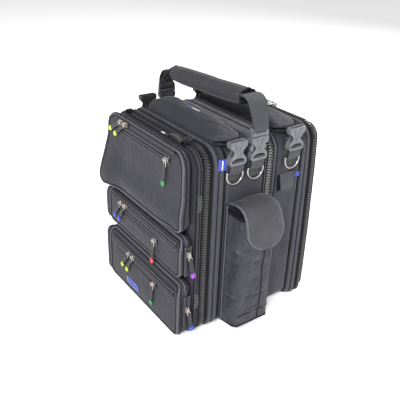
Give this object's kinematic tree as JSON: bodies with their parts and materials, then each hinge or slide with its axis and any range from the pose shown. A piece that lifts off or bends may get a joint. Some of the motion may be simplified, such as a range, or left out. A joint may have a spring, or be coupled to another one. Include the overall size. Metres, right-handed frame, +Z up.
{
  "type": "modular flight bag",
  "caption": "Modular flight bag with pocketed front cap, two centre sections with top lids, rear cap, side pouches, buckles with D-rings and a padded carry handle.",
  "frame": {"origin": "on the floor, under the middle of the whole bag's bounding box", "axes": "+Z up, front pockets face -Y, +X to the right of someone facing the rear"},
  "size_m": [0.368, 0.3348, 0.459],
  "materials": {
    "fabric": "charcoal ballistic nylon, coarse weave",
    "panel": "charcoal nylon, padded",
    "zip_tape": "black woven zipper tape with dark moulded teeth",
    "webbing": "grey woven nylon webbing",
    "buckle": "grey acetal, fine moulded grain",
    "ring_steel": "nickel-plated steel wire",
    "zip_metal": "gunmetal zinc, worn edges",
    "board": "black stiffener board",
    "pull_yellow": "soft rubber end, yellow-green",
    "pull_green": "soft rubber end, green",
    "pull_blue": "soft rubber end, blue",
    "pull_red": "soft rubber end, red",
    "pull_violet": "soft rubber end, violet"
  },
  "bodies": {
    "main": {"main_section": "fabric", "main_zip_tapes": "zip_tape", "divider": "panel", "base_board": "board", "pouch_right": "fabric", "pouch_left": "fabric", "buckle_receivers": "buckle", "buckle_webbing": "webbing", "handle_clips": "buckle"},
    "front_cap": {"front_cap": "fabric", "front_cap_zip_tapes": "zip_tape", "front_cap_tabs": "webbing", "pocket_top": "fabric", "pocket_middle": "fabric", "pocket_bottom": "fabric"},
    "rear_section": {"rear_section": "fabric", "rear_zip_tapes": "zip_tape", "rear_buckle_receivers": "buckle", "rear_webbing": "webbing"},
    "rear_cap": {"rear_cap": "fabric", "rear_cap_zip_tape": "zip_tape"},
    "handle": {"handle_webbing": "webbing", "handle_grip": "panel"},
    "slider_top_a": {"slider_top_a": "zip_metal"},
    "slider_top_b": {"slider_top_b": "zip_metal"},
    "slider_top_face": {"slider_top_face": "zip_metal"},
    "slider_middle_a": {"slider_middle_a": "zip_metal"},
    "slider_middle_b": {"slider_middle_b": "zip_metal"},
    "slider_middle_face": {"slider_middle_face": "zip_metal"},
    "slider_middle_side": {"slider_middle_side": "zip_metal"},
    "slider_bottom_a": {"slider_bottom_a": "zip_metal"},
    "slider_bottom_b": {"slider_bottom_b": "zip_metal"},
    "slider_bottom_face": {"slider_bottom_face": "zip_metal"},
    "slider_bottom_side": {"slider_bottom_side": "zip_metal"},
    "pull_top_a": {"pull_top_a": "pull_yellow"},
    "pull_top_b": {"pull_top_b": "pull_yellow"},
    "pull_top_face": {"pull_top_face": "pull_green"},
    "pull_middle_a": {"pull_middle_a": "pull_blue"},
    "pull_middle_b": {"pull_middle_b": "pull_blue"},
    "pull_middle_face": {"pull_middle_face": "pull_red"},
    "pull_middle_side": {"pull_middle_side": "pull_violet"},
    "pull_bottom_a": {"pull_bottom_a": "pull_yellow"},
    "pull_bottom_b": {"pull_bottom_b": "pull_yellow"},
    "pull_bottom_face": {"pull_bottom_face": "pull_green"},
    "pull_bottom_side": {"pull_bottom_side": "pull_blue"},
    "main_lid": {"main_lid": "fabric"},
    "flap_right": {"flap_right": "panel"},
    "flap_left": {"flap_left": "panel"},
    "latch_front": {"latch_front": "buckle"},
    "latch_rear": {"latch_rear": "buckle"},
    "front_zip_slider": {"front_zip_slider": "zip_metal"},
    "d_ring_right_front": {"d_ring_right_front": "ring_steel"},
    "d_ring_right_mid": {"d_ring_right_mid": "ring_steel"},
    "d_ring_left_front": {"d_ring_left_front": "ring_steel"},
    "d_ring_left_mid": {"d_ring_left_mid": "ring_steel"},
    "rear_lid": {"rear_lid": "fabric"},
    "d_ring_right_rear": {"d_ring_right_rear": "ring_steel"},
    "d_ring_left_rear": {"d_ring_left_rear": "ring_steel"},
    "rear_slider_a": {"rear_slider_a": "zip_metal"},
    "rear_slider_b": {"rear_slider_b": "zip_metal"}
  },
  "joints": [
    {"name": "front_cap_open", "type": "hinge", "parent": "main", "child": "front_cap", "pos_m": [-0.135, -0.1086, 0], "axis": [0, 0, -1], "range_deg": [0, 95]},
    {"name": "rear_section_open", "type": "hinge", "parent": "main", "child": "rear_section", "pos_m": [-0.135, 0.0294, 0], "axis": [0, 0, 1], "range_deg": [0, 45]},
    {"name": "rear_cap_open", "type": "hinge", "parent": "rear_section", "child": "rear_cap", "pos_m": [-0.135, 0.1434, 0], "axis": [0, 0, 1], "range_deg": [0, 80]},
    {"name": "main_lid_open", "type": "hinge", "parent": "main", "child": "main_lid", "pos_m": [0, -0.0826, 0.3755], "axis": [1, 0, 0], "range_deg": [0, 95]},
    {"name": "rear_lid_open", "type": "hinge", "parent": "rear_section", "child": "rear_lid", "pos_m": [0, 0.0474, 0.3755], "axis": [1, 0, 0], "range_deg": [0, 95]},
    {"name": "flap_right_open", "type": "hinge", "parent": "main", "child": "flap_right", "pos_m": [0.1353, -0.0226, 0.275], "axis": [0, -1, 0], "range_deg": [0, 60]},
    {"name": "flap_left_open", "type": "hinge", "parent": "main", "child": "flap_left", "pos_m": [-0.1353, -0.0226, 0.275], "axis": [0, 1, 0], "range_deg": [0, 60]},
    {"name": "handle_swing", "type": "hinge", "parent": "main", "child": "handle", "pos_m": [0, -0.0116, 0.4], "axis": [1, 0, 0], "range_deg": [-60, 60], "deforming": ["handle_webbing"]},
    {"name": "latch_front_press", "type": "slide", "parent": "main", "child": "latch_front", "axis": [0, 1, 0], "range_m": [0, 0.0032]},
    {"name": "latch_rear_press", "type": "slide", "parent": "main", "child": "latch_rear", "axis": [0, -1, 0], "range_m": [0, 0.0032]},
    {"name": "d_ring_right_front_swing", "type": "hinge", "parent": "main", "child": "d_ring_right_front", "pos_m": [0.143, -0.0566, 0.331], "axis": [0, -1, 0], "range_deg": [0, 100]},
    {"name": "d_ring_right_mid_swing", "type": "hinge", "parent": "main", "child": "d_ring_right_mid", "pos_m": [0.143, -0.0116, 0.331], "axis": [0, -1, 0], "range_deg": [0, 100]},
    {"name": "d_ring_right_rear_swing", "type": "hinge", "parent": "rear_section", "child": "d_ring_right_rear", "pos_m": [0.143, 0.0744, 0.331], "axis": [0, -1, 0], "range_deg": [0, 100]},
    {"name": "d_ring_left_front_swing", "type": "hinge", "parent": "main", "child": "d_ring_left_front", "pos_m": [-0.143, -0.0566, 0.331], "axis": [0, 1, 0], "range_deg": [0, 100]},
    {"name": "d_ring_left_mid_swing", "type": "hinge", "parent": "main", "child": "d_ring_left_mid", "pos_m": [-0.143, -0.0116, 0.331], "axis": [0, 1, 0], "range_deg": [0, 100]},
    {"name": "d_ring_left_rear_swing", "type": "hinge", "parent": "rear_section", "child": "d_ring_left_rear", "pos_m": [-0.143, 0.0744, 0.331], "axis": [0, 1, 0], "range_deg": [0, 100]},
    {"name": "front_zip_slide", "type": "slide", "parent": "main", "child": "front_zip_slider", "axis": [-1, 0, 0], "range_m": [0, 0.17]},
    {"name": "rear_slider_a_slide", "type": "slide", "parent": "rear_section", "child": "rear_slider_a", "axis": [-1, 0, 0], "range_m": [0, 0.09]},
    {"name": "rear_slider_b_slide", "type": "slide", "parent": "rear_section", "child": "rear_slider_b", "axis": [1, 0, 0], "range_m": [0, 0.09]},
    {"name": "zip_top_a", "type": "slide", "parent": "front_cap", "child": "slider_top_a", "axis": [-1, 0, 0], "range_m": [0, 0.042]},
    {"name": "zip_top_b", "type": "slide", "parent": "front_cap", "child": "slider_top_b", "axis": [1, 0, 0], "range_m": [0, 0.128]},
    {"name": "zip_top_face", "type": "slide", "parent": "front_cap", "child": "slider_top_face", "axis": [-1, 0, 0], "range_m": [0, 0.114]},
    {"name": "pull_top_a_swing", "type": "hinge", "parent": "slider_top_a", "child": "pull_top_a", "pos_m": [-0.071, -0.1584, 0.37], "axis": [-1, 0, 0], "range_deg": [0, 110]},
    {"name": "pull_top_b_swing", "type": "hinge", "parent": "slider_top_b", "child": "pull_top_b", "pos_m": [-0.055, -0.1584, 0.37], "axis": [-1, 0, 0], "range_deg": [0, 110]},
    {"name": "pull_top_face_swing", "type": "hinge", "parent": "slider_top_face", "child": "pull_top_face", "pos_m": [0.085, -0.1584, 0.354], "axis": [-1, 0, 0], "range_deg": [0, 110]},
    {"name": "zip_middle_a", "type": "slide", "parent": "front_cap", "child": "slider_middle_a", "axis": [-1, 0, 0], "range_m": [0, 0.039]},
    {"name": "zip_middle_b", "type": "slide", "parent": "front_cap", "child": "slider_middle_b", "axis": [1, 0, 0], "range_m": [0, 0.098]},
    {"name": "zip_middle_face", "type": "slide", "parent": "front_cap", "child": "slider_middle_face", "axis": [-1, 0, 0], "range_m": [0, 0.084]},
    {"name": "pull_middle_a_swing", "type": "hinge", "parent": "slider_middle_a", "child": "pull_middle_a", "pos_m": [-0.074, -0.1624, 0.203], "axis": [-1, 0, 0], "range_deg": [0, 110]},
    {"name": "pull_middle_b_swing", "type": "hinge", "parent": "slider_middle_b", "child": "pull_middle_b", "pos_m": [-0.058, -0.1624, 0.203], "axis": [-1, 0, 0], "range_deg": [0, 110]},
    {"name": "pull_middle_face_swing", "type": "hinge", "parent": "slider_middle_face", "child": "pull_middle_face", "pos_m": [0.052, -0.1624, 0.182], "axis": [-1, 0, 0], "range_deg": [0, 110]},
    {"name": "zip_bottom_a", "type": "slide", "parent": "front_cap", "child": "slider_bottom_a", "axis": [-1, 0, 0], "range_m": [0, 0.071]},
    {"name": "zip_bottom_b", "type": "slide", "parent": "front_cap", "child": "slider_bottom_b", "axis": [1, 0, 0], "range_m": [0, 0.066]},
    {"name": "zip_bottom_face", "type": "slide", "parent": "front_cap", "child": "slider_bottom_face", "axis": [-1, 0, 0], "range_m": [0, 0.052]},
    {"name": "pull_bottom_a_swing", "type": "hinge", "parent": "slider_bottom_a", "child": "pull_bottom_a", "pos_m": [-0.042, -0.1654, 0.102], "axis": [-1, 0, 0], "range_deg": [0, 110]},
    {"name": "pull_bottom_b_swing", "type": "hinge", "parent": "slider_bottom_b", "child": "pull_bottom_b", "pos_m": [-0.026, -0.1654, 0.102], "axis": [-1, 0, 0], "range_deg": [0, 110]},
    {"name": "pull_bottom_face_swing", "type": "hinge", "parent": "slider_bottom_face", "child": "pull_bottom_face", "pos_m": [0.052, -0.1654, 0.086], "axis": [-1, 0, 0], "range_deg": [0, 110]},
    {"name": "zip_middle_side", "type": "slide", "parent": "front_cap", "child": "slider_middle_side", "axis": [0, 0, -1], "range_m": [0, 0.039]},
    {"name": "zip_bottom_side", "type": "slide", "parent": "front_cap", "child": "slider_bottom_side", "axis": [0, 0, 1], "range_m": [0, 0.02]},
    {"name": "pull_middle_side_swing", "type": "hinge", "parent": "slider_middle_side", "child": "pull_middle_side", "pos_m": [0.1388, -0.1406, 0.191], "axis": [0, -1, 0], "range_deg": [0, 110]},
    {"name": "pull_bottom_side_swing", "type": "hinge", "parent": "slider_bottom_side", "child": "pull_bottom_side", "pos_m": [0.1388, -0.1406, 0.072], "axis": [0, -1, 0], "range_deg": [0, 110]}
  ],
  "couplings": [
    {"joint": "latch_rear_press", "follows": "latch_front_press", "ratio": 1}
  ]
}
